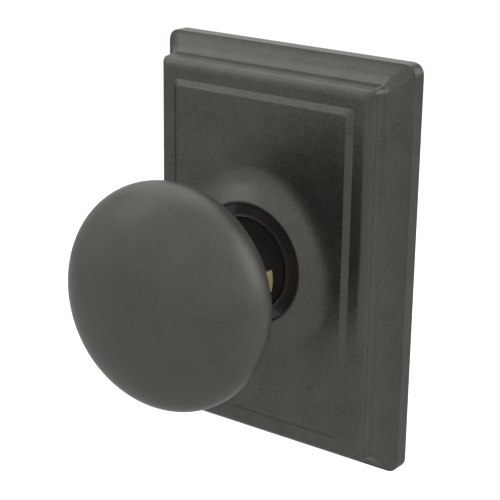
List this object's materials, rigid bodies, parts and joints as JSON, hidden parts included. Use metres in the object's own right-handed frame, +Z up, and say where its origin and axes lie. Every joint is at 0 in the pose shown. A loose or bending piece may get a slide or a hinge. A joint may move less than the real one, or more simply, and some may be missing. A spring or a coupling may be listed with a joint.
{
  "type": "door knob",
  "caption": "Round door knob on a short neck over a tall stepped rectangular rosette, with a spring-centred square spindle, a sprung catch in the neck and threaded posts behind.",
  "frame": {"origin": "where the knob axis meets the door face, in the plane of the rosette's rear rim", "axes": "+Y along the knob axis into the door, -Y out of the door towards the knob, +Z up the rosette's long side, +X across the rosette, to the right for someone facing the door"},
  "size_m": [0.0762, 0.1263, 0.108],
  "materials": {
    "dark_finish": "satin dark bronze coating on a zinc casting",
    "knob_finish": "satin dark bronze coating on pressed metal",
    "gloss_black": "glossy black moulding",
    "plated_steel": "zinc-plated pressed steel",
    "post_steel": "zinc-plated turned steel",
    "screw_steel": "zinc-plated steel",
    "spindle_steel": "drawn steel bar, lightly oiled",
    "spring_steel": "oiled spring steel",
    "zinc_casting": "bare zinc casting",
    "brass": "turned brass",
    "bearing_bronze": "sintered bronze",
    "nylon": "natural nylon"
  },
  "bodies": {
    "plate": {"rosette": "dark_finish", "rosette_bushing": "gloss_black", "mounting_plate": "plated_steel", "plate_bushing": "bearing_bronze", "spring_cage": "zinc_casting", "cage_cover": "plated_steel", "cage_screws": "screw_steel", "stop_pins": "screw_steel", "thrust_washer": "nylon", "post_left": "post_steel", "post_right": "post_steel", "plate_screws": "screw_steel", "return_spring": "spring_steel"},
    "knob": {"knob_front": "knob_finish", "knob_rear": "knob_finish", "knob_joint_ring": "zinc_casting", "shank_plate": "plated_steel", "knob_shank": "knob_finish", "spindle_sleeve": "brass", "drive_spindle": "spindle_steel", "spindle_pin": "screw_steel", "retaining_ring": "spring_steel", "drive_hub": "zinc_casting", "catch_spring_seat": "plated_steel", "catch_spring": "spring_steel"},
    "catch": {"knob_catch": "brass"}
  },
  "joints": [
    {"name": "knob_turn", "type": "hinge", "parent": "plate", "child": "knob", "pos_m": [0, 0, 0], "axis": [0, 1, 0], "range_deg": [-50, 50], "stiffness_Nm_per_rad": 0.6, "deforming": ["return_spring"]},
    {"name": "catch_press", "type": "slide", "parent": "knob", "child": "catch", "axis": [-1, 0, 0], "range_m": [0, 0.002], "stiffness_N_per_m": 1200, "springref_m": -0.0015, "deforming": ["catch_spring"]}
  ]
}
